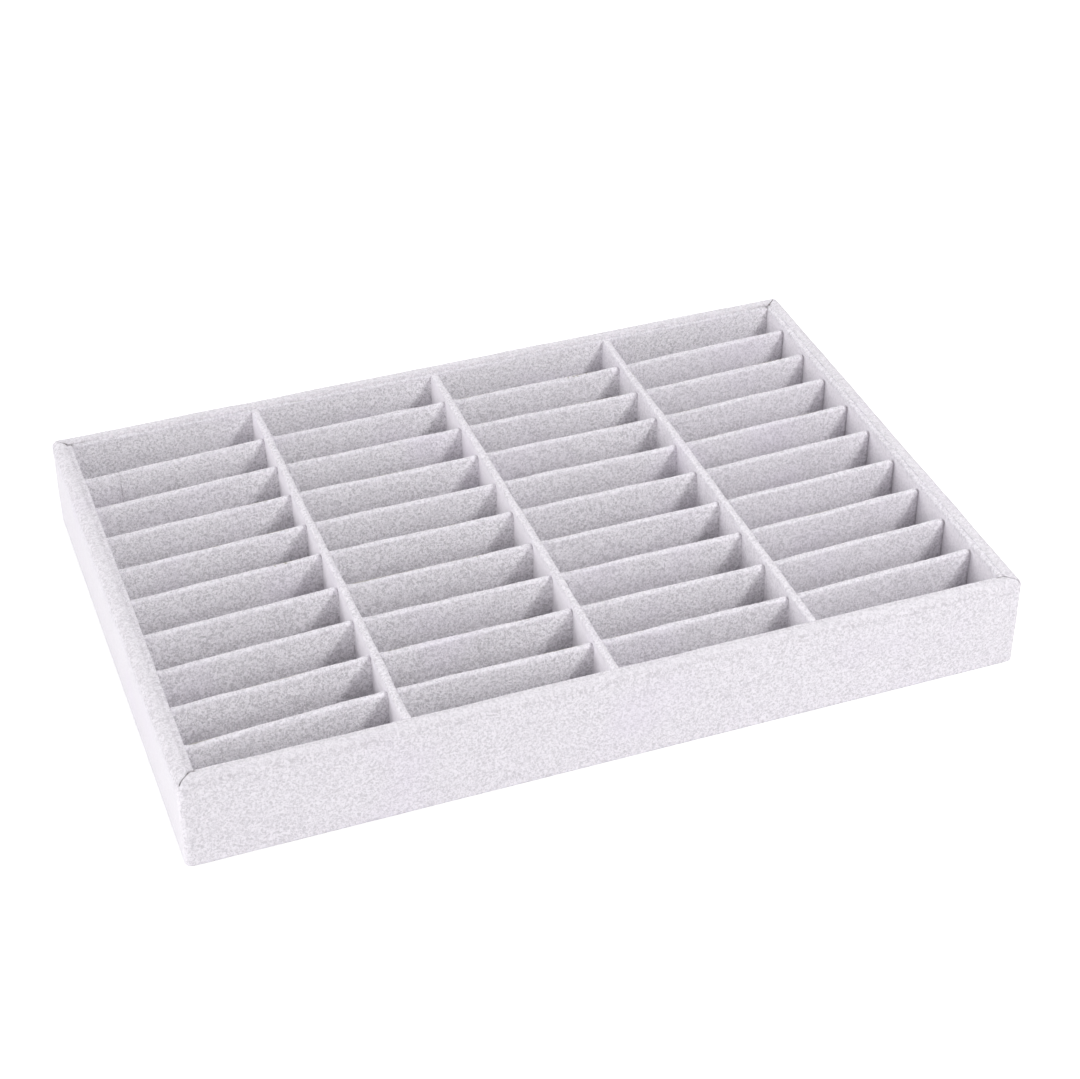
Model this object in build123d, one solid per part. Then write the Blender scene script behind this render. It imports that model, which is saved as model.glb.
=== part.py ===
from build123d import *
import math
import os

# A velvet tray for small jewelry. Four mitred rails and a base panel make the box, and one velvet cover goes
# round it, over the rim and under the bottom. Velvet liners stand inside the walls. Three long dividers run
# front to back, and rows of cross dividers stand between them. Everything is in millimetres, +X to the right,
# +Y to the back, +Z up, with the origin at the middle of the face that the tray stands on.

# Outside of the tray, over the velvet
tray_length = 350.0
tray_width = 240.0
tray_height = 42.0

# Sheet materials
velvet = 0.6
felt = 0.6
rail_thickness = 5.0
base_thickness = 3.0
floor_card_thickness = 1.0
liner_card_thickness = 1.2
long_board_thickness = 2.0
cross_board_thickness = 1.2

# Edges of the box
rail_corner_radius = 2.6
rail_edge_radius = 2.4
rim_inner_radius = 0.54
cover_hem_drop = 14.0
cover_turn_in = 15.0
mitre_slit = 0.3
mitre_slit_stop = 2.2
felt_inset = 4.0

# Heights below the rim
liner_drop = 0.5
long_divider_drop = 0.6
cross_divider_drop = 3.0

# Soft edges of what is wrapped in velvet: how much rounder a fold is than its velvet is thick, the least flat
# left on top between two folds, and the corners at a divider's ends
fold_softening = 0.5
fold_flat = 0.2
end_radius = 1.8

# Fits: a board between walls, the felt within the turned-in velvet, a divider's end against a wall
board_fit = 0.2
felt_fit = 0.2
glue_gap = 0.1

# The grid. Each row of cross dividers is glued near its even place, which makes all cells alike. row_drift
# says how far behind that place each row lies, front row first. station_drift says how far behind its row a
# cross divider's end lies at the left liner, at each long divider and at the right liner.
row_drift = (-1.2, -0.9, -0.2, 0.3, 1.7, 1.0, 1.4, 1.3, 1.3)
station_drift = (-3.9, 0.0, 0.0, 0.0, 2.9)

# Worked out from the sizes above
row_count = len(row_drift)
column_count = len(station_drift) - 1
wrap = 2 * velvet
rim_inner_x = tray_length / 2 - rail_thickness - wrap
rim_inner_y = tray_width / 2 - rail_thickness - wrap
rail_outer_x = tray_length / 2 - velvet
rail_outer_y = tray_width / 2 - velvet
rail_inner_x = rail_outer_x - rail_thickness
rail_inner_y = rail_outer_y - rail_thickness
rail_bottom = felt + velvet
rail_top = tray_height - velvet
base_top = rail_bottom + base_thickness
card_top = base_top + floor_card_thickness
floor_top = card_top + velvet
liner_thickness = liner_card_thickness + velvet
liner_top = tray_height - liner_drop
liner_inner_x = rim_inner_x - liner_thickness
liner_inner_y = rim_inner_y - liner_thickness
long_thickness = long_board_thickness + wrap
cross_thickness = cross_board_thickness + wrap
long_top = tray_height - long_divider_drop
cross_top = tray_height - cross_divider_drop
column_width = (2 * liner_inner_x - (column_count - 1) * long_thickness) / column_count
column_pitch = column_width + long_thickness
row_pitch = (2 * liner_inner_y + cross_thickness) / (row_count + 1)


def block(half_x, half_y, bottom, top):
    """A box centred on the tray's axis."""
    return Pos(0, 0, bottom) * extrude(Rectangle(2 * half_x, 2 * half_y), top - bottom)


def rounded_block(half_x, half_y, bottom, top, corner, top_edge):
    """A block with rounded upright corners and a rounded top edge."""
    plan = RectangleRounded(2 * half_x, 2 * half_y, corner)
    solid = Pos(0, 0, bottom) * extrude(plan, top - bottom)
    return fillet(solid.faces().sort_by(Axis.Z)[-1].edges(), top_edge)


def corners(distance_x, distance_y):
    """The four corners of the tray, each with its direction outwards along the mitre."""
    for sign_x in (-1, 1):
        for sign_y in (-1, 1):
            angle = math.degrees(math.atan2(sign_y, sign_x))
            yield Pos(sign_x * distance_x, sign_y * distance_y, 0) * Rot(0, 0, angle)


def mitre_slits(half_x, half_y, length, bottom, top):
    """Thin cuts along the mitres, outwards from the corners of an inner rectangle, which they open."""
    whole_length = mitre_slit + length
    slit = Pos(length - whole_length / 2, 0, (bottom + top) / 2) * Box(whole_length, mitre_slit, top - bottom)
    return [place * slit for place in corners(half_x, half_y)]


def board_ring():
    """The four rails in one piece, with rounded outer corners and a rounded outer rim edge."""
    radii = rail_corner_radius, rail_edge_radius
    whole = rounded_block(rail_outer_x, rail_outer_y, rail_bottom, rail_top, *radii)
    return whole - block(rail_inner_x, rail_inner_y, rail_bottom, rail_top)


def frame_rails():
    """The four rails: the ring of board, cut along its mitres."""
    ring = board_ring()
    past = rail_thickness
    outer_x, outer_y = rail_outer_x + past, rail_outer_y + past
    inner_x, inner_y = rail_inner_x - past, rail_inner_y - past
    front_corners = (-outer_x, -outer_y), (outer_x, -outer_y), (inner_x, -inner_y), (-inner_x, -inner_y)
    right_corners = (outer_x, -outer_y), (outer_x, outer_y), (inner_x, inner_y), (inner_x, -inner_y)
    front = Polygon(*front_corners, align=None)
    right = Polygon(*right_corners, align=None)
    wedges = {
        "front": front,
        "back": mirror(front, Plane.XZ),
        "right": right,
        "left": mirror(right, Plane.YZ),
    }
    return {side: ring & extrude(wedge, tray_height) for side, wedge in wedges.items()}


def outer_cover():
    """The velvet round the box. It covers the outside walls and the rim, hangs down inside the rim as a hem,
    and is turned in under the bottom. Slits let it turn the corners."""
    half_x, half_y = tray_length / 2, tray_width / 2
    under_x, under_y = half_x - cover_turn_in, half_y - cover_turn_in
    hem_bottom = tray_height - cover_hem_drop
    corner_radius = rail_corner_radius + velvet
    cover = rounded_block(half_x, half_y, felt, tray_height, corner_radius, rail_edge_radius + velvet)
    cover = fillet(cover.faces().sort_by(Axis.Z)[0].edges(), velvet)
    cover -= board_ring()
    cover -= block(rim_inner_x, rim_inner_y, rail_bottom, tray_height)
    cover -= block(rail_inner_x, rail_inner_y, rail_bottom, hem_bottom)
    cover -= block(under_x, under_y, felt, rail_bottom)
    rim_face = cover.faces().filter_by(Axis.Z).sort_by(Axis.Z)[-1]
    cover = fillet(rim_face.inner_wires()[0].edges(), min(rim_inner_radius, velvet))
    rim_slit_length = (half_x - rim_inner_x - mitre_slit_stop) * math.sqrt(2)
    hem_slit_length = velvet * math.sqrt(2)
    under_slit_length = (cover_turn_in - mitre_slit_stop) * math.sqrt(2)
    cover -= mitre_slits(rim_inner_x, rim_inner_y, rim_slit_length, rail_top, tray_height)
    cover -= mitre_slits(rim_inner_x, rim_inner_y, hem_slit_length, hem_bottom, tray_height)
    cover -= mitre_slits(under_x, under_y, under_slit_length, felt, rail_bottom)
    return cover


def underside_felt():
    """The felt that the tray stands on. It lies over the turned-in velvet, and a thicker middle lies inside
    that velvet, up against the base panel."""
    margin = block(tray_length / 2 - felt_inset, tray_width / 2 - felt_inset, 0, felt)
    middle_inset = cover_turn_in + felt_fit
    return margin + block(tray_length / 2 - middle_inset, tray_width / 2 - middle_inset, 0, rail_bottom)


def between_rails(bottom, top):
    """A sheet that fills the box between the rails."""
    return block(rail_inner_x - board_fit, rail_inner_y - board_fit, bottom, top)


def folded(thickness):
    """The radius of velvet folded over a board, where board and velvet have this thickness together."""
    return min(velvet + fold_softening, (thickness - fold_flat) / 2)


def liner_velvet(run):
    """A liner's velvet, drawn from its end: a face on the cells' side, folded over the card as far as the
    wall. The wall is at X = 0, and the liner runs along Y, as far to the back as to the front."""
    height = liner_top - floor_top
    sheet = Pos(0, floor_top) * Rectangle(liner_thickness, height, align=Align.MIN)
    fold = sheet.vertices().group_by(Axis.Y)[-1].sort_by(Axis.X)[-1]
    sheet = fillet(fold, folded(2 * liner_thickness))
    sheet -= Pos(0, floor_top) * Rectangle(liner_card_thickness, height - velvet, align=Align.MIN)
    return extrude(Plane.XZ * sheet, run / 2, both=True)


def liner_card(run):
    """The card behind a liner's velvet, glued to the wall."""
    height = liner_top - velvet - floor_top
    return Pos(liner_card_thickness / 2, 0, floor_top + height / 2) * Box(liner_card_thickness, run, height)


def liners(make):
    """The four liners of the walls. Left and right run the whole depth, front and back stand between them."""
    left = Pos(-rim_inner_x, 0, 0) * make(2 * rim_inner_y)
    front = Pos(0, -rim_inner_y, 0) * Rot(0, 0, 90) * make(2 * liner_inner_x)
    return {"left": left, "right": mirror(left, Plane.YZ), "front": front, "back": mirror(front, Plane.XZ)}


def standing(width, top):
    """A rectangle that stands on the floor of the tray, and its two top corners."""
    shape = Pos(0, (floor_top + top) / 2) * Rectangle(width, top - floor_top)
    return shape, shape.vertices().group_by(Axis.Y)[-1]


def on_edge(section, outline, width):
    """A strip on edge along the X axis, with this section and, seen from the front, this outline."""
    return extrude(Plane.YZ * section, width, both=True) & extrude(Plane.XZ * outline, width, both=True)


def wrapped_divider(board_thickness, top, width):
    """A divider's velvet and the board in it. The velvet goes over both faces, the top and the two ends. The
    board's corners are clipped, which keeps the velvet's thickness at the middle of its rounded corners."""
    section_corners = standing(board_thickness + wrap, top)[1]
    outline_corners = standing(width, top)[1]
    rounded_section = fillet(section_corners, folded(board_thickness + wrap))
    whole = on_edge(rounded_section, fillet(outline_corners, end_radius), width)
    section = standing(board_thickness, top - velvet)[0]
    outline_corners = standing(width - wrap, top - velvet)[1]
    clip = (end_radius - velvet) * (2 - math.sqrt(2))
    board = on_edge(section, chamfer(outline_corners, clip), width)
    return whole - board, board


def long_place(number):
    """Where one of the dividers that run front to back stands, counted from the left."""
    return Pos(-liner_inner_x + number * column_pitch - long_thickness / 2, 0, 0) * Rot(0, 0, 90)


def cross_place(column, row):
    """Where one cross divider stands, with its column and row counted from the front left cell. It is turned
    as far as its two ends drift apart."""
    row_y = -liner_inner_y - cross_thickness / 2 + row * row_pitch + row_drift[row - 1]
    left_drift, right_drift = station_drift[column - 1 : column + 1]
    lean = math.degrees(math.atan2(right_drift - left_drift, column_width))
    centre_x = -liner_inner_x + (column - 0.5) * column_width + (column - 1) * long_thickness
    return Pos(centre_x, row_y + (left_drift + right_drift) / 2, 0) * Rot(0, 0, lean)


def save(name, *solids):
    """Writes one sub-part, as one solid or as a group of separate solids."""
    shape = solids[0] if len(solids) == 1 else Compound(children=list(solids))
    export_step(shape, f"parts/{name}.step")


os.makedirs("parts", exist_ok=True)

for side, rail in frame_rails().items():
    save(f"frame_rail_{side}", rail)
save("base_panel", between_rails(rail_bottom, base_top))
save("outer_velvet_cover", outer_cover())
save("underside_felt", underside_felt())
save("floor_card", between_rails(base_top, card_top))
save("floor_velvet", between_rails(card_top, floor_top))

for side, piece in liners(liner_velvet).items():
    save(f"wall_liner_{side}", piece)
cards = liners(liner_card)
save("liner_cards_front_back", cards["front"], cards["back"])
save("liner_cards_left_right", cards["left"], cards["right"])

sleeve, board = wrapped_divider(long_board_thickness, long_top, 2 * (liner_inner_y - glue_gap))
places = [long_place(number) for number in range(1, column_count)]
for number, place in enumerate(places, 1):
    save(f"long_divider_{number}", place * sleeve)
save("long_divider_boards", *[place * board for place in places])

sleeve, board = wrapped_divider(cross_board_thickness, cross_top, column_width - 2 * glue_gap)
for column in range(1, column_count + 1):
    places = [cross_place(column, row) for row in range(1, row_count + 1)]
    for row, place in enumerate(places, 1):
        save(f"cross_divider_column{column}_row{row}", place * sleeve)
    save(f"cross_divider_boards_column{column}", *[place * board for place in places])
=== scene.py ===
import math

import bmesh
import bpy
import numpy as np
from mathutils import Matrix, Vector


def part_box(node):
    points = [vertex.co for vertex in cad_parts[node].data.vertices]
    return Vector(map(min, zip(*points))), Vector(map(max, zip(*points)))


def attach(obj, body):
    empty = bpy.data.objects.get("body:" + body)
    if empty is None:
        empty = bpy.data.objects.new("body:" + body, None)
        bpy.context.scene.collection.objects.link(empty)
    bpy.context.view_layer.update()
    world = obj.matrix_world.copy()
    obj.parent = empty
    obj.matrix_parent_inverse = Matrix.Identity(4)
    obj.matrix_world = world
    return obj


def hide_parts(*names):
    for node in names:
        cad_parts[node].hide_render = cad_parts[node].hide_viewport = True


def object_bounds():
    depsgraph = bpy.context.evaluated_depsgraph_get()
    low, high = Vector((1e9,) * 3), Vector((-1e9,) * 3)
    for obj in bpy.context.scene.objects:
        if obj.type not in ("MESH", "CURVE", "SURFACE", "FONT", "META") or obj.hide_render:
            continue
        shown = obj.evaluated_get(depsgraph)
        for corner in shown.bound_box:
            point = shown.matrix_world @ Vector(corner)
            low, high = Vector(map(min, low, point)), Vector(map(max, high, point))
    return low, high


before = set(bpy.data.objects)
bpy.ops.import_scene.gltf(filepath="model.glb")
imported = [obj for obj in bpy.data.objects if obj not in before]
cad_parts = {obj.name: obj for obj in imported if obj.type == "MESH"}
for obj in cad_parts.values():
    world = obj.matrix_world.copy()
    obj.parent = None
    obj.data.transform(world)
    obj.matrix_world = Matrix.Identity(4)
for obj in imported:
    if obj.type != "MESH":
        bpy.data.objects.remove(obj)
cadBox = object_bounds()
mm = 0.001
cloth = 0.6 * mm  # how thick every velvet is
sharpAngle = math.radians(55)  # edges that turn more than this stay sharp
mergeDistance = 1e-7  # points closer than this become one
print("frame loaded with", len(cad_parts), "nodes")


def smoothStep(start, stop, x):
    # 0 before start, 1 after stop, and the S-curve 3tt - 2ttt between them
    t = np.clip((x - start) / (stop - start), 0, 1)
    return t * t * (3 - 2 * t)


def ridge(x, middle, width):
    # A bell curve: 1 at the middle, and gone about two widths away
    return np.exp(-(((x - middle) / width) ** 2))


def waves(points, wavelength, seed, count=12, shortest=0.6, longest=1.7):
    # Gentle unevenness about 1 high: sine waves of about this length, in random directions, added up
    random = np.random.default_rng(seed)
    directions = random.normal(size=(count, 3))
    directions /= np.linalg.norm(directions, axis=1)[:, None]
    lengths = wavelength * random.uniform(shortest, longest, count)
    phases = random.uniform(0, 2 * np.pi, count)
    return np.sin(points @ (2 * np.pi * directions / lengths[:, None]).T + phases).sum(-1) / np.sqrt(count)


def steps(start, stop, spacing):
    # Even steps from start to stop, both included, about this far apart
    return np.linspace(start, stop, max(2, round(abs(stop - start) / spacing) + 1))


def arcPoints(centre, radius, fromAngle, toAngle, count):
    # Points round part of a circle, with angles in degrees
    angles = np.radians(np.linspace(fromAngle, toAngle, count))
    return np.stack([centre[0] + radius * np.cos(angles), centre[1] + radius * np.sin(angles)], 1)


def fallRound(radius, turns):
    # How far a quarter circle has fallen from its highest point after each turn in degrees
    return radius * (1 - np.cos(np.radians(turns)))


def joinProfile(*runs):
    # Runs of profile points end to end, each without the point that the run before it ended on
    return np.concatenate([runs[0]] + [run[1:] for run in runs[1:]])


def profileNormals(profile):
    # The direction a quarter turn to the left of each point's way along the profile
    along = np.gradient(profile, axis=0)
    along /= np.linalg.norm(along, axis=1)[:, None]
    return np.stack([-along[:, 1], along[:, 0]], 1)


def gridNormals(grid):
    # The cross product of a grid's two directions at each point, one unit long
    normals = np.cross(np.gradient(grid, axis=0), np.gradient(grid, axis=1))
    smallest = 1e-12  # keeps a pinched point's length above 0
    return normals / np.maximum(np.linalg.norm(normals, axis=-1, keepdims=True), smallest)


def clothMesh(name, front, back, ends, marks=None):
    # A closed skin from two grids of points (along, across, xyz), one for each face of the cloth, joined
    # along their long edges. ends is capped, pinched (the faces already meet there) or ring (the last row
    # joins the first). marks holds a number for each point of the front, by attribute name.
    along, across = front.shape[:2]
    count = along * across
    index = np.arange(count).reshape(along, across)
    if ends == "ring":
        index = np.concatenate([index, index[:1]])
    quads = np.stack([index[:-1, :-1], index[1:, :-1], index[1:, 1:], index[:-1, 1:]], -1)
    quads = quads.reshape(-1, 4)
    faces = [quads, quads[:, ::-1] + count]
    borders = [index[:, 0], index[:, -1]]
    if ends == "capped":
        borders += [index[0], index[-1]]
    for border in borders:
        faces.append(np.stack([border[:-1], border[1:], border[1:] + count, border[:-1] + count], -1))
    mesh = bpy.data.meshes.new(name)
    points = np.concatenate([front.reshape(-1, 3), back.reshape(-1, 3)])
    mesh.from_pydata(points.tolist(), [], np.concatenate(faces).tolist())
    for markName, values in (marks or {}).items():
        attribute = mesh.attributes.new(markName, "FLOAT", "POINT")
        both = np.concatenate([values.ravel(), np.zeros(count)])
        attribute.data.foreach_set("value", both.astype(np.float32))
    work = bmesh.new()
    work.from_mesh(mesh)
    bmesh.ops.remove_doubles(work, verts=work.verts, dist=mergeDistance)
    bmesh.ops.recalc_face_normals(work, faces=work.faces)
    work.to_mesh(mesh)
    work.free()
    mesh.polygons.foreach_set("use_smooth", np.ones(len(mesh.polygons), bool))
    mesh.set_sharp_from_angle(angle=sharpAngle)
    return mesh


def addPiece(name, mesh, material, node):
    # A finished piece on the tray's one body, in place of the CAD's node
    piece = bpy.data.objects.new(name, mesh)
    bpy.context.scene.collection.objects.link(piece)
    mesh.materials.append(material)
    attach(piece, "root")
    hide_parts(node)


# Materials: velvet, felt and two boards

velvetLook = {
    "pileLight": (0.82, 0.795, 0.84),
    "pileDark": (0.578, 0.555, 0.595),
    "insideLight": (0.889, 0.87, 0.905),  # liners and dividers have more depth in the same velvet's pile
    "insideDark": (0.533, 0.515, 0.545),
    "smooth": (0.85, 0.82, 0.865),  # painted light: a lighter, flatter colour for the faces toward the left lamp
    # the same outside: painted light on the left wall, and flat nap on the rim
    "smoothOutside": (0.736, 0.715, 0.75),
    "lilac": (0.732, 0.66, 0.80),
    # the dots: painted shade, and the ground where the pile parts along the front fold
    "foldColour": (0.415, 0.39, 0.42),
    "slitColour": (0.10, 0.085, 0.09),
    "mottleScale": 900,
    "mottleTwist": 0.9,
    "grainScale": 2300,
    "grainShare": 0.4,  # against the mottling
    "pileRange": (0.38, 0.58),  # the noise that gives the dark and the light pile
    "patchScale": 26,
    "patchRange": (0.56, 0.76),  # the noise that gives no patch and a full one
    "patchStrength": 0.2,
    "dotRange": (0.62, 0.42),  # the noise that gives the weakest and the strongest dots
    "dotStrength": (0.3, 0.7),
    "bumpDepth": 0.28 * mm,
    "reliefBump": 0.75,  # how much more of it there is where the pile is deep
    "shader": {
        "Roughness": 0.95,
        "Specular IOR Level": 0.2,
        "Sheen Weight": 0.45,
        "Sheen Roughness": 0.35,
        "Sheen Tint": (0.98, 0.96, 1.0, 1.0),
    },
}
feltLook = {
    "light": (0.50, 0.49, 0.51),
    "dark": (0.36, 0.35, 0.37),
    "stretch": 6.0,
    "fibreScale": 420,
    "lumpScale": 160,
    "lumpShare": 0.4,
    "range": (0.40, 0.66),
    "bumpDepth": 0.15 * mm,
    "shader": {"Roughness": 0.95, "Specular IOR Level": 0.2, "Sheen Weight": 0.2, "Sheen Roughness": 0.5},
}
boardLook = {
    "fibreboard": {"light": (0.60, 0.46, 0.32), "dark": (0.47, 0.34, 0.22), "fibreScale": 700},
    "greyboard": {"light": (0.46, 0.44, 0.41), "dark": (0.36, 0.34, 0.31), "fibreScale": 900},
    "stretch": 3.0,
    "cloudSize": 12,  # against the fibres
    "cloudShare": 0.25,
    "range": (0.36, 0.64),
    "bumpDepth": 0.08 * mm,
    "shader": {"Roughness": 0.9, "Specular IOR Level": 0.25},
}


def opaque(colour):
    return (*colour, 1.0)


class Nodes:
    # Short calls for building the nodes of a material or of the world
    def __init__(self, owner):
        owner.use_nodes = True
        self.owner = owner
        self.tree = owner.node_tree

    def add(self, kind, inputs=None, **settings):
        # A new node. Each input is another node's output, which is linked, or a constant.
        node = self.tree.nodes.new(kind)
        for key, value in settings.items():
            setattr(node, key, value)
        for key, value in (inputs or {}).items():
            if isinstance(value, bpy.types.NodeSocket):
                self.tree.links.new(value, node.inputs[key])
            else:
                node.inputs[key].default_value = value
        return node

    def place(self, *stretch):
        # The place on the piece, or with three numbers that place times these along X, Y and Z
        place = self.add("ShaderNodeTexCoord").outputs["Object"]
        if stretch:
            place = self.add("ShaderNodeMapping", {"Vector": place, "Scale": stretch}).outputs["Vector"]
        return place

    def mark(self, name):
        # The number that the mesh gives each of its points under this name
        return self.add("ShaderNodeAttribute", attribute_name=name).outputs["Fac"]

    def noise(self, place, scale, detail, roughness=0.5, distortion=0.0):
        inputs = {"Vector": place, "Scale": scale, "Detail": detail, "Roughness": roughness}
        inputs["Distortion"] = distortion
        return self.add("ShaderNodeTexNoise", inputs, noise_type="FBM").outputs["Fac"]

    def math(self, operation, *values, clamp=False):
        inputs = dict(enumerate(values))
        return self.add("ShaderNodeMath", inputs, operation=operation, use_clamp=clamp).outputs[0]

    def weigh(self, a, b, shareOfB):
        # The sum of both, b times its share and a times what is left
        return self.math("ADD", self.math("MULTIPLY", a, 1 - shareOfB), self.math("MULTIPLY", b, shareOfB))

    def remap(self, value, fromMin, fromMax, toMin=0.0, toMax=1.0):
        inputs = {"Value": value, "From Min": fromMin, "From Max": fromMax, "To Min": toMin, "To Max": toMax}
        return self.add("ShaderNodeMapRange", inputs).outputs["Result"]

    def mix(self, share, a, b):
        # Colour a where the share is 0 and b where it is 1
        a, b = (opaque(colour) if isinstance(colour, tuple) else colour for colour in (a, b))
        return self.add("ShaderNodeMix", {0: share, 6: a, 7: b}, data_type="RGBA").outputs[2]

    def seesBackground(self):
        # 1 for rays that show the background: the camera's, and those reflected or let through
        path = self.add("ShaderNodeLightPath").outputs
        through = self.math("MAXIMUM", path["Is Camera Ray"], path["Is Glossy Ray"])
        return self.math("MAXIMUM", through, path["Is Transmission Ray"])

    def finish(self, colour, height, depth, constants):
        # The shader gets this colour, a bump that is this deep where the height is 1, and constants by socket
        shader = self.tree.nodes["Principled BSDF"]
        bump = self.add("ShaderNodeBump", {"Height": height, "Distance": depth, "Strength": 1.0})
        self.tree.links.new(colour, shader.inputs["Base Color"])
        self.tree.links.new(bump.outputs["Normal"], shader.inputs["Normal"])
        for socket, value in constants.items():
            shader.inputs[socket].default_value = value
        return self.owner


def makeVelvet(look):
    # Short pile: worm-like mottling about a millimetre across, finer grain in it, and faint lilac patches.
    # The mark relief is above 0 where the pile is deeper. Below 0 the colour is lighter and flatter, with its
    # own colour outside: painted light on the faces toward the left lamp, and flat nap on the rim. Dark dots
    # are painted shade in grooves, creases, deep in the cells, at shaded ends, on two liners' tops and along
    # the left edge, and partly the pile parting along the front fold. A slit shows the dark ground.
    n = Nodes(bpy.data.materials.new("velvet"))
    place = n.place()
    worms = n.noise(place, look["mottleScale"], 1.0, 0.5, look["mottleTwist"])
    pile = n.weigh(worms, n.noise(place, look["grainScale"], 1.0), look["grainShare"])
    relief = n.mark("relief")
    deep = n.math("MULTIPLY", relief, 1.0, clamp=True)
    flat = n.math("MULTIPLY", relief, -1.0, clamp=True)
    dark = n.mix(deep, look["pileDark"], look["insideDark"])
    light = n.mix(deep, look["pileLight"], look["insideLight"])
    # below 0 on the relief mark: painted light on the faces toward the left lamp, and flat nap on the rim
    smooth = n.mix(n.mark("outside"), look["smooth"], look["smoothOutside"])
    cloud = n.noise(place, look["patchScale"], 1.0)
    patches = n.remap(cloud, *look["patchRange"], 0.0, look["patchStrength"])
    strength = n.remap(worms, *look["dotRange"], *look["dotStrength"])
    # dark dots: painted shade, and partly the pile parting along the front fold
    dots = n.math("MULTIPLY", n.mark("parted"), strength, clamp=True)
    colour = n.mix(n.remap(pile, *look["pileRange"]), dark, light)
    colour = n.mix(flat, colour, smooth)
    colour = n.mix(patches, colour, look["lilac"])
    colour = n.mix(dots, colour, look["foldColour"])
    colour = n.mix(n.mark("slit"), colour, look["slitColour"])
    bump = n.math("MULTIPLY_ADD", relief, look["reliefBump"], 1.0)
    return n.finish(colour, pile, n.math("MULTIPLY", bump, look["bumpDepth"]), look["shader"])


def makeFelt(look):
    # Matted fibres: fine crossed streaks over soft lumps
    n = Nodes(bpy.data.materials.new("felt"))
    lengthwise = n.noise(n.place(1.0, look["stretch"], 1.0), look["fibreScale"], 2.0)
    crosswise = n.noise(n.place(look["stretch"], 1.0, 1.0), look["fibreScale"], 2.0)
    lumps = n.noise(n.place(), look["lumpScale"], 2.0)
    height = n.weigh(n.math("MAXIMUM", lengthwise, crosswise), lumps, look["lumpShare"])
    colour = n.mix(n.remap(height, *look["range"]), look["dark"], look["light"])
    return n.finish(colour, height, look["bumpDepth"], look["shader"])


def makeBoard(name, look):
    # Pressed fibres: short streaks in two sizes and a faint cloud
    n = Nodes(bpy.data.materials.new(name))
    own = look[name]
    fibres = n.noise(n.place(1.0, look["stretch"], look["stretch"]), own["fibreScale"], 4.0, 0.65, 0.5)
    cloud = n.noise(n.place(), own["fibreScale"] / look["cloudSize"], 2.0)
    share = n.remap(n.weigh(fibres, cloud, look["cloudShare"]), *look["range"])
    return n.finish(n.mix(share, own["dark"], own["light"]), fibres, look["bumpDepth"], look["shader"])


velvet = makeVelvet(velvetLook)
felt = makeFelt(feltLook)
fibreboard, greyboard = (makeBoard(name, boardLook) for name in ("fibreboard", "greyboard"))
print("materials made")

# The cover that goes round the box

coverVelvet = {
    "cornerRadius": 3.2 * mm,  # upright corners
    "rimRadius": 3.0 * mm,  # outer edge of the rim
    "innerRadius": 0.7 * mm,  # inner edge of the rim
    "footRadius": 0.6 * mm,
    "hemDrop": 14 * mm,
    "turnIn": 15 * mm,
    "hemShift": {"front": 0.0, "back": -0.4 * mm, "left": 0.0, "right": 0.2 * mm},  # outward
    "hemFades": ((0.4, 1), (3, 2), (1, 4)),  # in rim widths: from outside, from inside, from the corners
    "rows": {"under": 2.5 * mm, "wall": 2 * mm, "upperWall": 0.5 * mm, "rim": 0.4 * mm, "hem": 2.2 * mm},
    "upperWall": 7 * mm,  # below the rim, where the rows get closer
    "spacing": 2.0 * mm,  # along the walls, with the places near a corner listed below
    "nearCorner": np.array([0, 0.1, 0.2, 0.3, 0.42, 0.6, 0.85, 1.2, 1.6, 2.1, 2.7, 3.4, 4.4]) * mm,
    "sag": 0.10 * mm,  # how uneven the walls are
    "longWaves": (55 * mm, 1),  # wavelength and seed
    "shortWaves": (16 * mm, 2),
    "deepest": 0.2 * mm,
    "footFade": (0.1 * mm, 2 * mm),  # above the felt, on which the underside stays flat
    "ripple": 0.03 * mm,  # near the rim
    "rippleWaves": (3 * mm, 3),
    "rippleFade": (8 * mm, 2 * mm),  # below the rim, from none to full, like every fade
    "frontParting": 0.5,  # how dark the front wall's fold is: the pile parting there, and painted shade of the fold
    "foldBelowRim": 1.45 * mm,
    "foldWidth": 1.7 * mm,
    "foldDepth": 0.03 * mm,
    "foldFade": (7 * mm, 4 * mm),  # from the front
    "foldEndFade": (0, 6 * mm),  # from the left
    "seamParting": 0.4,  # painted shade of the groove along the rim's inner edge
    "seamWidth": 1.0 * mm,
    "seamHeight": 1 * mm,  # how far below the rim it ends
    "leftParting": 0.3,  # painted shade along the top of the left side, fading down the wall
    "leftWidth": 4.5 * mm,
    "leftFade": (4 * mm, 1 * mm),  # from the left
    "unevenParting": 0.1,  # how much all three vary along the way
    "partingWaves": (9 * mm, 5),
    "leftNap": 0.74,  # painted light: how much lighter and flatter the left wall is, as it faces the left lamp
    "napFades": ((1 * mm, 0), (0, 13 * mm)),  # from the left, and below the rim
    "rimNap": 0.22,  # how flat the nap lies on the rim
    "rimDepth": 3 * mm,  # how far down the nap and the slits of the rim reach
    "slitHalfWidth": 0.32 * mm,
    "slitCore": 0.35,  # the share of that width which is fully dark
    "slitWidths": (0.85, 0.75),  # times the half width: in the middle, and how much more at its ends
    "slitDark": (0.75, 0.25),  # in the middle, and how much more at its ends
    "slitDepth": 0.55 * mm,
    "slitStop": 0.6 * mm,  # how far from the outside each slit ends
    "slitFade": (-0.2 * mm, 0.3 * mm),  # from there
    "slitEnds": (0.8 * mm, 1.2 * mm),  # how long the inner and the outer end are
    "lipHeight": 0.08 * mm,  # the velvet's edges beside a slit
    "lipDistance": 2.2,  # from the mitre, in half widths
}
beforeSeam = 0.3 * mm  # from the middle of the painted seam shade to the rim's inner edge


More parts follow.
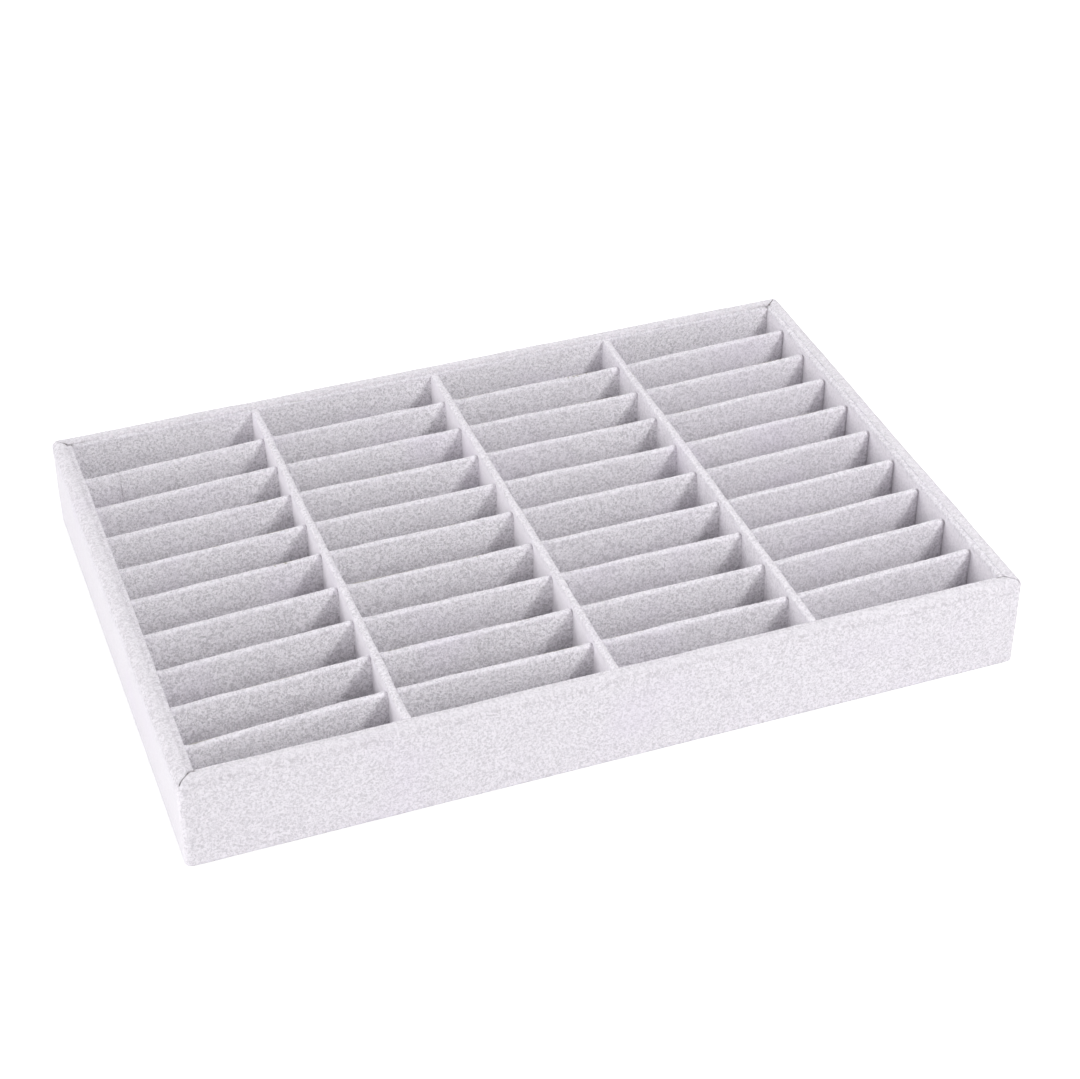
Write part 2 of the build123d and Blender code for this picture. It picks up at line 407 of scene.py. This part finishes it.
def coverProfile(c, bottom, top, rimWidth):
    # Inset and height of the outer face: in from under the bottom, up the wall, over the rim, down the hem
    foot, rim, inner, rows = c["footRadius"], c["rimRadius"], c["innerRadius"], c["rows"]
    under = steps(c["turnIn"], foot, rows["under"])
    lower = steps(bottom + foot, top - c["upperWall"], rows["wall"])
    wall = np.concatenate([lower, steps(lower[-1], top - rim, rows["upperWall"])[1:]])
    flat = steps(rim, rimWidth - inner, rows["rim"])
    hem = steps(top - inner, top - c["hemDrop"], rows["hem"])
    return joinProfile(
        np.stack([under, np.full_like(under, bottom)], 1),
        arcPoints((foot, bottom + foot), foot, 270, 180, 4),
        np.stack([np.zeros_like(wall), wall], 1),
        arcPoints((rim, top - rim), rim, 180, 90, 10),
        np.stack([flat, np.full_like(flat, top)], 1),
        arcPoints((rimWidth - inner, top - inner), inner, 90, 0, 5),
        np.stack([np.full_like(hem, rimWidth), hem], 1),
    )


def sideStations(half, nearCorner, spacing):
    # Places along one side, from corner to corner, close together beside the corners
    middle = steps(-half + nearCorner[-1], half - nearCorner[-1], spacing)
    return np.concatenate([-half + nearCorner[:-1], middle, (half - nearCorner[:-1])[::-1]])


def carryRound(profile, half, c):
    # The profile carried along the four sides, mitred at the corners. A place along a side shrinks with the
    # inset, so that each side ends on the mitre. Also gives every point's distance to the nearest mitre.
    inset, height = profile[:, 0], profile[:, 1]
    rows, offMitre = [], []
    for turn in range(4):
        length, reach = half[turn % 2], half[1 - turn % 2]
        stations = sideStations(length, c["nearCorner"], c["spacing"])[:-1]
        sideways = stations[:, None] / length * (length - inset)
        outward = np.broadcast_to(reach - inset, sideways.shape)
        quarter = turn * math.pi / 2
        x = sideways * math.cos(quarter) + outward * math.sin(quarter)
        y = sideways * math.sin(quarter) - outward * math.cos(quarter)
        rows.append(np.stack([x, y, np.broadcast_to(height, x.shape)], -1))
        offMitre.append((length - inset - np.abs(sideways)) / math.sqrt(2))
    return np.concatenate(rows), np.concatenate(offMitre)


def roundCorners(points, half, radius):
    # Inside a corner's square, each square ring round the arc's centre becomes a round one: the way from that
    # centre is multiplied by its longer side over its length
    over = np.abs(points[..., :2]) - (half - radius)
    inCorner = (over > 0).all(-1, keepdims=True)
    reach = np.where(inCorner, np.linalg.norm(over, axis=-1, keepdims=True), 1)
    circled = np.sign(points[..., :2]) * (half - radius + over * over.max(-1, keepdims=True) / reach)
    flat = np.where(inCorner, circled, points[..., :2])
    return np.concatenate([flat, points[..., 2:]], -1)


def shiftHem(points, half, rimWidth, c):
    # Moves the rim's inner part and the hem sideways, and nothing at the outside or in the corners
    outer, inner, corner = (np.array(fade) * rimWidth for fade in c["hemFades"])
    for axis, side in ((0, "right"), (1, "back")):
        inset = half[axis] - points[..., axis]
        fromCorner = half[1 - axis] - np.abs(points[..., 1 - axis])
        share = smoothStep(*outer, inset) * smoothStep(*inner, inset) * smoothStep(*corner, fromCorner)
        points[..., axis] += c["hemShift"][side] * share


def partPileAndShade(c, points, inset, half, top, rimWidth):
    # How dark the dots are, as bell curves: round the front fold, the pile parting there with painted shade;
    # painted shade along the top of the left side, and in the groove along the rim's inner edge
    below = top - points[..., 2]
    fromLeft = points[..., 0] + half[0]
    onWall = 1 - smoothStep(0, c["rimRadius"], inset)
    onFront = smoothStep(*c["foldFade"], points[..., 1] + half[1]) * smoothStep(*c["foldEndFade"], fromLeft)
    # the front fold: the pile parting there, with painted shade of the fold
    parted = c["frontParting"] * ridge(below, c["foldBelowRim"], c["foldWidth"]) * onWall * onFront
    # painted shade along the top of the left side
    parted += c["leftParting"] * ridge(below, 0, c["leftWidth"]) * smoothStep(*c["leftFade"], fromLeft)
    # painted shade of the groove along the rim's inner edge
    onSeam = ridge(inset, rimWidth - beforeSeam, c["seamWidth"]) * (below < c["seamHeight"])
    parted += c["seamParting"] * onSeam
    return parted * (1 + c["unevenParting"] * (waves(points, *c["partingWaves"]) - 1))


def cutSlits(c, inset, offMitre, onRim, rimWidth):
    # How dark a slit is at each point, and how high its lips stand beside it: an S-curve and a bell curve of
    # the distance to the mitre. A slit is wider and darker at both ends.
    innerEnd, outerEnd = c["slitEnds"]
    ends = ridge(inset, rimWidth - beforeSeam, innerEnd) + ridge(inset, c["slitStop"], outerEnd)
    width = c["slitHalfWidth"] * (c["slitWidths"][0] + c["slitWidths"][1] * ends)
    dark = c["slitDark"][0] + c["slitDark"][1] * np.minimum(ends, 1)
    slit = onRim * (1 - smoothStep(c["slitCore"] * width, width, offMitre)) * dark
    return slit, onRim * ridge(offMitre, c["lipDistance"] * c["slitHalfWidth"], c["slitHalfWidth"])


def makeCover(c):
    # The profile carried round the box, with its corners rounded. Waves, folds and lips then push each point
    # along the surface's normal, and the slits are pressed down.
    low, high = (np.array(corner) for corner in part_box("outer_velvet_cover"))
    half, bottom, top = high[:2], low[2], high[2]
    rimWidth = half[0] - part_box("wall_liner_right")[1].x
    profile = coverProfile(c, bottom, top, rimWidth)
    outside, offMitre = carryRound(profile, half, c)
    inside, _ = carryRound(profile - profileNormals(profile) * cloth, half, c)
    outside, inside = (roundCorners(points, half, c["cornerRadius"]) for points in (outside, inside))
    for points in (outside, inside):
        shiftHem(points, half, rimWidth, c)
    inset = np.broadcast_to(profile[:, 0], offMitre.shape)
    height = outside[..., 2]
    below = top - height
    onRim = smoothStep(*c["slitFade"], inset - c["slitStop"]) * (below < c["rimDepth"])
    parted = partPileAndShade(c, outside, inset, half, top, rimWidth)
    slit, lips = cutSlits(c, inset, offMitre, onRim, rimWidth)
    # painted light: the left wall, toward the left lamp, gets a lighter, flatter colour, more so lower down
    fromLeft, down = c["napFades"]
    onLeft = smoothStep(*fromLeft, outside[..., 0] + half[0]) * smoothStep(*down, below)
    flatNapAndLight = np.maximum(c["leftNap"] * onLeft, c["rimNap"] * onRim)
    push = c["sag"] * (waves(outside, *c["longWaves"]) + waves(outside, *c["shortWaves"]) / 2 - 1)
    push += c["ripple"] * waves(outside, *c["rippleWaves"]) * smoothStep(*c["rippleFade"], below)
    push = np.maximum(push, -c["deepest"]) - c["foldDepth"] * parted + c["lipHeight"] * lips
    push *= smoothStep(*c["footFade"], height - bottom)
    outside = outside + gridNormals(outside) * push[..., None]
    outside[..., 2] -= c["slitDepth"] * slit
    outside[..., 2] = np.minimum(outside[..., 2], top)
    marks = {"parted": np.clip(parted, 0, 1), "slit": slit, "relief": -flatNapAndLight, "outside": np.ones_like(slit)}
    return clothMesh("outerVelvetCover", outside, inside, "ring", marks)


addPiece("outerVelvetCover", makeCover(coverVelvet), velvet, "outer_velvet_cover")
print("cover made")

# The liners inside the walls

linerVelvet = {
    "foldRadius": {"front": 1.1 * mm, "back": 1.1 * mm, "left": 1.0 * mm, "right": 1.2 * mm},
    "sink": {"front": 0.12 * mm, "back": 0.15 * mm, "left": 0.0, "right": 0.15 * mm},  # how far its top sank
    "swell": {"front": 0.0, "back": 0.0, "left": 0.5 * mm, "right": 0.0},  # how much deeper its pile is
    # painted shade on the back and right liners' tops
    "topParting": {"front": 0.0, "back": 0.25, "left": 0.0, "right": 0.2},
    "relief": {"front": 1, "back": 1, "left": 1, "right": -0.5},  # on the right liner, below 0: painted light, a lighter, flatter face toward the left lamp
    "jointWidth": 0.5 * mm,  # the dark joint at each end of its top
    "jointDark": 0.75,
    "wallRadius": 0.12 * mm,  # where the fold turns down beside the rim
    "pressIn": 0.3 * mm,  # how far its top presses into the cover's velvet
    "spacing": 1.6 * mm,  # along the wall
    "faceRows": 1.8 * mm,
    "topRows": 0.3 * mm,
    "sag": 0.10 * mm,
    "sagFade": 6 * mm,  # above the floor
    "sagWaves": (40 * mm, 20),  # wavelength and seed, to which each side adds its number
    "topUneven": 0.10 * mm,
    "topWaves": (22 * mm, 25),
    "fuzz": 0.2,  # how high its short waves are against the long ones
    "fuzzWaves": (3 * mm, 30),
    "reliefFade": (0.5, 3),  # below its top, in fold radii
}
sidesInward = {"front": (0, 1), "back": (0, -1), "left": (1, 0), "right": (-1, 0)}
turnPoints = 4  # on the arc that turns down beside the rim


def linerProfile(thick, bottom, top, fold, c):
    # Distance from the wall and height: up the face, over the card, and a little down beside the rim
    turn = c["wallRadius"]
    face = steps(bottom, top - fold, c["faceRows"])
    flat = steps(thick - fold, turn, c["topRows"])
    return joinProfile(
        np.stack([np.full_like(face, thick), face], 1),
        arcPoints((thick - fold, top - fold), fold, 0, 90, 7),
        np.stack([flat, np.full_like(flat, top)], 1),
        arcPoints((turn, top - turn), turn, 90, 180, turnPoints),
    )


def makeLiner(side, node, c):
    # The profile carried along the wall, with waves in its face and its top
    low, high = (np.array(corner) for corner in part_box(node))
    inward = np.array([*sidesInward[side], 0.0])
    runAxis = np.abs(inward[[1, 0, 2]])
    half = abs(high @ runAxis - low @ runAxis) / 2
    press = c["pressIn"] + coverVelvet["hemShift"][side]
    wallPlace = np.where(inward > 0, low, high) * np.abs(inward) - inward * press
    thick = abs((high - low) @ inward) + press + c["swell"][side]
    bottom, top, fold = low[2], high[2] - c["sink"][side], c["foldRadius"][side]
    profile = linerProfile(thick, bottom, top, fold, c)
    backProfile = profile + profileNormals(profile) * cloth
    backProfile = np.minimum(backProfile, [thick - cloth, top - cloth])
    backProfile[:, 0] = np.maximum(backProfile[:, 0], 0)
    backProfile[-turnPoints:, 1] = top - cloth
    stations = steps(-half, half, c["spacing"])

    def carried(across):
        points = stations[:, None, None] * runAxis + across[None, :, :1] * inward + wallPlace
        points[..., 2] = across[:, 1]
        return points

    def unevenness(points, wavelength, seed):
        return waves(points, wavelength, seed + list(sidesInward).index(side))

    outer, back = carried(profile), carried(backProfile)
    onFace = smoothStep(0, thick / 2, profile[:, 0]) * smoothStep(0, c["sagFade"], outer[..., 2] - bottom)
    bulge = c["sag"] * (unevenness(outer, *c["sagWaves"]) - 1) * onFace
    outer = outer + inward * bulge[..., None]
    onTop = smoothStep(top - fold, top, outer[..., 2])
    rise = unevenness(outer, *c["topWaves"]) - 1 + c["fuzz"] * unevenness(outer, *c["fuzzWaves"])
    outer[..., 2] = np.minimum(outer[..., 2] + c["topUneven"] * rise * onTop, top)
    joint = ridge(np.abs(outer @ runAxis), half, c["jointWidth"]) * onTop
    marks = {
        # below 0 on the right liner: painted light on a face toward the left lamp
        "relief": c["relief"][side] * smoothStep(*c["reliefFade"], (top - outer[..., 2]) / fold),
        # painted shade on the top
        "parted": c["topParting"][side] * onTop,
        "slit": c["jointDark"] * joint,
    }
    return clothMesh("wallLiner" + side.capitalize(), outer, back, "capped", marks)


for side in sidesInward:
    linerMesh = makeLiner(side, "wall_liner_" + side, linerVelvet)
    addPiece(linerMesh.name, linerMesh, velvet, "wall_liner_" + side)
print("liners made")

# Dividers: velvet over a board, open at the bottom

dividerVelvet = {
    "foldRadius": 1.1 * mm,
    "endRadius": {"cross": 1.8 * mm, "lastCross": 3.2 * mm, "long": 1.6 * mm},  # the top corner at each end
    "endFold": {"cross": 0.12 * mm, "lastCross": 1.25 * mm, "long": 0.12 * mm},  # the upright folds below it
    "endStretch": 1.8,  # how much longer than thick the rounding of an end is
    "cornerTurns": (0, 10, 20, 30, 42, 55, 72, 90),  # degrees round an end's corner, where the stations are
    "foldTurns": (0, 18, 34, 50, 66, 90),  # degrees round the top's fold, where the rows are
    "backInset": 1.5,  # from face to board, in cloths
    "backFold": 0.44 * mm,
    "backEndFold": 0.1 * mm,
    "pressIn": 0.5 * mm,  # how far each end presses into the velvet that it meets
    "sink": 0.12 * mm,  # how far the cross dividers' velvet sits down on them
    "frontSwell": 0.35 * mm,  # how much deeper the pile is on their front faces
    "rightSwell": 0.25 * mm,  # and on the long dividers' right faces
    "spacing": 0.9 * mm,  # along the divider
    "rowSpacing": 2.1 * mm,  # down its faces
    "sag": 0.13 * mm,
    "swellWaves": (17 * mm, 41),  # wavelength and seed, for each face on its own
    "bowWaves": (70 * mm, 42),  # for both faces together
    "slim": 0.6,  # how far each face's waves are shifted inward, against their height
    "low": 1.2,  # and those of the top downward
    "endFade": 6 * mm,  # where the waves of the faces fade out towards the ends
    "topEndFade": 4 * mm,  # and those of the top
    "floorFade": 8 * mm,
    "topUneven": 0.12 * mm,
    "topWaves": (26 * mm, 44),
    "fuzz": 0.06 * mm,
    "sideFuzz": (9 * mm / 7, 43),
    "topFuzz": (11 * mm / 9, 45),
    "reliefFade": (0.3, 2),  # below the top, in fold radii
    "relief": {"column1": 1, "column2": 1, "column3": 0.85, "column4": 0.4},
    "leftRelief": {"long_divider_1": -0.7, "long_divider_2": -0.7, "long_divider_3": -0.2},  # painted light: lighter, flatter left faces, toward the left lamp
    "deepParting": 0.5,  # painted shade: darker deep in the cells
    "deepFade": (10 * mm, 18 * mm),  # below the top
    "endParting": 0.8,  # painted shade: darker at the right ends of the last column
    "endBefore": 0.4 * mm,
    "endWidth": 1.2 * mm,
    "creases": {"cross_divider_column1_row9": 16 * mm},  # how far from the left end
    "creaseDepth": 0.18 * mm,
    "creaseWidth": 0.22 * mm,
    # painted shade in the crease's groove
    "creaseParting": 1.1,
    "creaseReach": 0.7 * mm,  # to both sides, where the stations are close together
    "creaseSpacing": 0.1 * mm,
}
seedStep = 0.37  # how far apart the dividers lie in the waves, so that each has its own
mostLean = 5  # in degrees
leanSteps = 2001


def dividerPlace(node):
    # A divider's middle, direction, length and thickness: of all directions near its longer side, the one
    # across which its vertices reach least
    co = np.array([v.co[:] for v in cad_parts[node].data.vertices])[:, :2]
    reach = co.max(0) - co.min(0)
    base = 0 if reach[0] > reach[1] else math.pi / 2
    angles = base + np.radians(np.linspace(-mostLean, mostLean, leanSteps))
    across = co @ np.stack([-np.sin(angles), np.cos(angles)])
    best = np.argmin(np.ptp(across, axis=0))
    direction = np.array([math.cos(angles[best]), math.sin(angles[best])])
    along = co @ direction
    sideways = across[:, best]
    middle = direction * (along.max() + along.min()) / 2
    middle += np.array([-direction[1], direction[0]]) * (sideways.max() + sideways.min()) / 2
    return middle, direction, np.ptp(along), np.ptp(sideways)


def foldOut(halfThick, radius, toEdge):
    # How far a folded cloth's face is from the middle, at a distance from its edge: half the thickness, less
    # the fold's radius, plus the height of the fold's arc
    toEdge = np.clip(toEdge, 0, radius)
    return halfThick - radius + np.sqrt(np.maximum(radius**2 - (radius - toEdge) ** 2, 0))


def sleeveStations(halfLength, endRadius, crease, c):
    # Places along a sleeve from end to end, close together round its corners and at a crease
    fromEnd = np.concatenate([[0], fallRound(endRadius, c["cornerTurns"])])
    middle = steps(-halfLength + endRadius, halfLength - endRadius, c["spacing"])[1:-1]
    if crease is not None:
        close = crease + steps(-c["creaseReach"], c["creaseReach"], c["creaseSpacing"])
        apart = np.abs(middle - crease) > c["creaseReach"] + c["creaseSpacing"]
        middle = np.sort(np.concatenate([middle[apart], close]))
    return np.concatenate([-halfLength + fromEnd, middle, (halfLength - fromEnd)[::-1]])


def sleeveSkin(halfLength, halfThick, bottom, top, folds, crease, c):
    # One skin of a sleeve in its own frame: along, across, up. Each station along it has a top that drops
    # round the end corners, and each point is as far out as both the top's fold and the end's fold allow.
    topFold, endFold, endRadius = folds
    stations = sleeveStations(halfLength, endRadius, crease, c)
    fold = fallRound(topFold, c["foldTurns"])
    below = np.concatenate([fold, steps(topFold, top - bottom, c["rowSpacing"])[1:]])
    past = np.maximum(np.abs(stations) - (halfLength - endRadius), 0)
    stationTop = top - endRadius + np.sqrt(np.maximum(endRadius**2 - past**2, 0))
    levels = stationTop[:, None] - below * ((stationTop - bottom) / (top - bottom))[:, None]
    upPast = levels - (top - endRadius)
    inCorner = (past[:, None] > 0) & (upPast > 0)
    toTop = np.where(inCorner, endRadius - np.hypot(past[:, None], upPast), top - levels)
    toEnd = np.broadcast_to((halfLength - np.abs(stations))[:, None], levels.shape)
    out = np.minimum(foldOut(halfThick, topFold, toTop), foldOut(halfThick, endFold, toEnd / c["endStretch"]))
    out[[0, -1]] = 0  # both ends are pinched shut
    along = np.broadcast_to(stations[:, None], levels.shape)
    left = np.stack([along, out, levels], -1)[:, ::-1]
    right = np.stack([along, -out, levels], -1)
    return np.concatenate([left, right], 1)


def makeSleeve(node, c, seed):
    # Two skins, one cloth apart, over the divider's own length and thickness. Waves bow both faces together,
    # swell each on its own and unsettle the top, and all fade out towards the ends and the bottom.
    middle, direction, length, thick = dividerPlace(node)
    kind = "long" if node.startswith("long") else "lastCross" if "column4" in node else "cross"
    low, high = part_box(node)
    bottom, top, fold = low.z, high.z, c["foldRadius"]
    if kind == "long":
        thick += c["rightSwell"]
        middle = middle + np.array([c["rightSwell"] / 2, 0])
    else:
        top -= c["sink"]
        thick += c["frontSwell"]
        middle = middle - np.array([0, c["frontSwell"] / 2])
    half = length / 2 + c["pressIn"]
    endRadius = c["endRadius"][kind]
    crease = c["creases"][node] - half if node in c["creases"] else None
    skin = sleeveSkin(half, thick / 2, bottom, top, (fold, c["endFold"][kind], endRadius), crease, c)
    backFolds = (c["backFold"], c["backEndFold"], endRadius - cloth)
    backHalf = thick / 2 - c["backInset"] * cloth
    back = sleeveSkin(half - cloth, backHalf, bottom, top - cloth, backFolds, crease, c)

    along, across, up = (skin[..., axis] for axis in range(3))
    ownPlace = skin + np.array([0, 0, seed])
    bothFaces = ownPlace * np.array([1, 0, 1])
    toEnd = half - np.abs(along)
    free = smoothStep(0, c["endFade"], toEnd) * smoothStep(0, c["floorFade"], up - bottom)
    onTop = smoothStep(top - 2 * fold, top, up) * smoothStep(0, c["topEndFade"], toEnd)
    swell = waves(ownPlace, *c["swellWaves"]) - c["slim"]
    bow = waves(bothFaces, *c["bowWaves"]) + np.sign(across) * swell
    bend = (c["sag"] * bow + c["fuzz"] * waves(skin, *c["sideFuzz"]) * onTop) * free * (np.abs(across) > 0)
    rise = c["topUneven"] * (waves(bothFaces, *c["topWaves"]) - c["low"])
    rise += c["fuzz"] * (waves(bothFaces, *c["topFuzz"]) - 1)
    # painted shade: darker deep in the cells
    parted = c["deepParting"] * smoothStep(*c["deepFade"], top - up)
    # painted shade at the right ends of the last column
    if kind == "lastCross":
        parted += c["endParting"] * ridge(half - along, c["endBefore"], c["endWidth"])
    if crease is not None:
        groove = ridge(along, crease, c["creaseWidth"]) * free
        bend -= np.sign(across) * c["creaseDepth"] * groove
        # painted shade in the crease's groove
        parted += c["creaseParting"] * groove
    relief = smoothStep(*c["reliefFade"], (top - up) / fold)
    for column, share in c["relief"].items():
        if column in node:
            relief *= share
    # painted light: the long dividers' left faces, toward the left lamp, get a lighter, flatter colour
    if kind == "long":
        relief *= np.where(across > 0, c["leftRelief"][node], 1)
    front = np.stack([along, across + bend, up + rise * onTop], -1)
    side = np.array([-direction[1], direction[0]])

    def placed(points):
        level = middle + points[..., :1] * direction + points[..., 1:2] * side
        return np.concatenate([level, points[..., 2:]], -1)

    return clothMesh(node, placed(front), placed(back), "pinched", {"relief": relief, "parted": parted})


def camel(node):
    # long_divider_1 becomes longDivider1
    words = node.split("_")
    return words[0] + "".join(word.capitalize() for word in words[1:])


dividerNodes = sorted(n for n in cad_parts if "divider" in n and "boards" not in n)
for number, node in enumerate(dividerNodes):
    addPiece(camel(node), makeSleeve(node, dividerVelvet, seedStep * number), velvet, node)
print("dividers made:", len(dividerNodes))

# The cloth on the floor, the felt underneath, and the boards, which keep their CAD shape

floorCloth = {
    "spacing": 3.0 * mm,
    "dip": 0.08 * mm,
    "dipWaves": (20 * mm, 61),  # wavelength and seed
}
underFelt = {
    "spacing": 3.5 * mm,
    "edgeWidth": 0.35 * mm,  # the chamfer round its underside
    "step": 15.2 * mm,  # from the cover's outside, where the felt gets thicker
    "overTurnIn": 0.6 * mm,  # how thick it is outside the step
    "dip": 0.05 * mm,
    "dipFade": (4 * mm, 12 * mm),  # from the felt's edge, where the dips start and where they are full
    "dipWaves": (18 * mm, 71),
}


def layer(box, spacing, edge=0.0):
    # A level grid over a box's plan, with one extra row just inside each side where the edge is rounded
    grids = []
    for axis in (0, 1):
        low, high = box[0][axis], box[1][axis]
        inner = steps(low + edge, high - edge, spacing)
        grids.append(np.concatenate([[low], inner, [high]]) if edge else inner)
    x, y = np.meshgrid(*grids, indexing="ij")
    return np.stack([x, y, np.zeros_like(x)], -1)


def insetFrom(box, points):
    # How far each point is inside the plan's nearest side
    x, y = points[..., 0], points[..., 1]
    return np.minimum(np.minimum(x - box[0].x, box[1].x - x), np.minimum(y - box[0].y, box[1].y - y))


def makeFloorCloth(c):
    # Flat below, and above lowered by a wave where that is less than 1
    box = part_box("floor_velvet")
    upper = layer(box, c["spacing"])
    lower = upper.copy()
    upper[..., 2] = box[1].z + c["dip"] * np.minimum(waves(upper, *c["dipWaves"]) - 1, 0)
    lower[..., 2] = box[0].z
    return clothMesh("floorVelvet", upper, lower, "capped")


def makeUnderFelt(c):
    # Almost flat below, with a chamfered edge. Above, it steps up where it lies inside the turned-in velvet.
    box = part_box("underside_felt")
    lower = layer(box, c["spacing"], c["edgeWidth"])
    upper = lower.copy()
    inset = insetFrom(box, lower)
    lower[..., 2] = box[0].z + np.maximum(c["edgeWidth"] - inset, 0)
    dips = np.maximum(waves(lower, *c["dipWaves"]), 0)
    lower[..., 2] += c["dip"] * smoothStep(*c["dipFade"], inset) * dips
    fromCover = inset + box[0].x - cadBox[0].x
    upper[..., 2] = c["overTurnIn"] + (box[1].z - c["overTurnIn"]) * (fromCover > c["step"])
    return clothMesh("undersideFelt", lower, upper, "capped")


addPiece("floorVelvet", makeFloorCloth(floorCloth), velvet, "floor_velvet")
addPiece("undersideFelt", makeUnderFelt(underFelt), felt, "underside_felt")
for node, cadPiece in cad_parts.items():
    if not cadPiece.hide_render:
        board = fibreboard if node.startswith("frame_rail") or node == "base_panel" else greyboard
        for slot in cadPiece.material_slots:
            slot.material = board
print("floor cloth, felt and boards finished")

# Studio: floor, lamps, world and camera

studio = {
    "floorSize": 1.6,
    "floorColour": (0.86, 0.86, 0.86),
    "floorLift": 0.5,  # how much of the floor's white doesn't depend on the lamps
    "worldColour": (1.0, 0.985, 1.0),
    "worldStrength": 0.19,
    "lamps": {  # azimuth, elevation, distance, size, level on a surface that faces the lamp
        "keyLamp": (41, 45, 1.6, 0.38, 0.62),
        "leftLamp": (-91, 13, 1.6, 0.6, 0.60),
        "frontLamp": (-20, 30, 1.6, 1.1, 0.30),
        "backLamp": (175, 30, 1.6, 0.8, 0.5),
    },
}
view = {
    "azimuth": -20.057,
    "elevation": 36.611,
    "distance": 1.0375,
    "target": (0.01366, 0.00929, 0.015),
    "roll": -0.256,
    "lens": 79.901,
    "sensor": 36.0,
}


def directionTo(azimuth, elevation):
    # The unit vector at this azimuth from the front, counted towards the right, and this elevation
    a, e = math.radians(azimuth), math.radians(elevation)
    return Vector((math.sin(a) * math.cos(e), -math.cos(a) * math.cos(e), math.sin(e)))


def makeFloor(s):
    # A matt square, plus a glow for the rays that show the background
    half = s["floorSize"] / 2
    mesh = bpy.data.meshes.new("studioFloor")
    corners = [(-half, -half, 0), (half, -half, 0), (half, half, 0), (-half, half, 0)]
    mesh.from_pydata(corners, [], [(0, 1, 2, 3)])
    floor = bpy.data.objects.new("studioFloor", mesh)
    bpy.context.scene.collection.objects.link(floor)
    n = Nodes(bpy.data.materials.new("paleFloor"))
    n.tree.nodes.remove(n.tree.nodes["Principled BSDF"])
    matt = n.add("ShaderNodeBsdfDiffuse", {"Color": opaque(s["floorColour"])})
    glow = n.add("ShaderNodeEmission", {"Strength": n.math("MULTIPLY", n.seesBackground(), s["floorLift"])})
    both = n.add("ShaderNodeAddShader", {0: matt.outputs[0], 1: glow.outputs[0]})
    n.tree.links.new(both.outputs[0], n.tree.nodes["Material Output"].inputs["Surface"])
    mesh.materials.append(n.owner)


def makeWorld(s):
    # Weak even light, which the rays that show the background see as white
    world = bpy.data.worlds.new("studio")
    bpy.context.scene.world = world
    n = Nodes(world)
    background = n.tree.nodes["Background"]
    background.inputs["Color"].default_value = opaque(s["worldColour"])
    strength = n.remap(n.seesBackground(), 0.0, 1.0, s["worldStrength"], 1.0)
    n.tree.links.new(strength, background.inputs["Strength"])


def makeLamp(name, azimuth, elevation, distance, size, level):
    # A square lamp that faces the tray's origin
    lamp = bpy.data.lights.new(name, "AREA")
    lamp.shape = "SQUARE"
    lamp.size = size
    lamp.energy = level * (math.pi * distance) ** 2  # a white surface that faces it then shows this level
    holder = bpy.data.objects.new(name, lamp)
    bpy.context.scene.collection.objects.link(holder)
    direction = directionTo(azimuth, elevation)
    holder.location = direction * distance
    holder.rotation_mode = "QUATERNION"
    holder.rotation_quaternion = (-direction).to_track_quat("-Z", "Y")


def makeCamera(v):
    # It looks at the target from this direction and distance, turned by the roll about its own axis
    data = bpy.data.cameras.new("camera")
    data.lens = v["lens"]
    data.sensor_width = v["sensor"]
    camera = bpy.data.objects.new("camera", data)
    bpy.context.scene.collection.objects.link(camera)
    back = directionTo(v["azimuth"], v["elevation"])
    facing = (-back).to_track_quat("-Z", "Y").to_matrix().to_4x4()
    place = Matrix.Translation(Vector(v["target"]) + back * v["distance"])
    camera.matrix_world = place @ facing @ Matrix.Rotation(math.radians(v["roll"]), 4, "Z")
    bpy.context.scene.camera = camera


makeFloor(studio)
makeWorld(studio)
for lampName, settings in studio["lamps"].items():
    makeLamp(lampName, *settings)
makeCamera(view)
bpy.context.scene.view_settings.view_transform = "Standard"
print("studio ready")
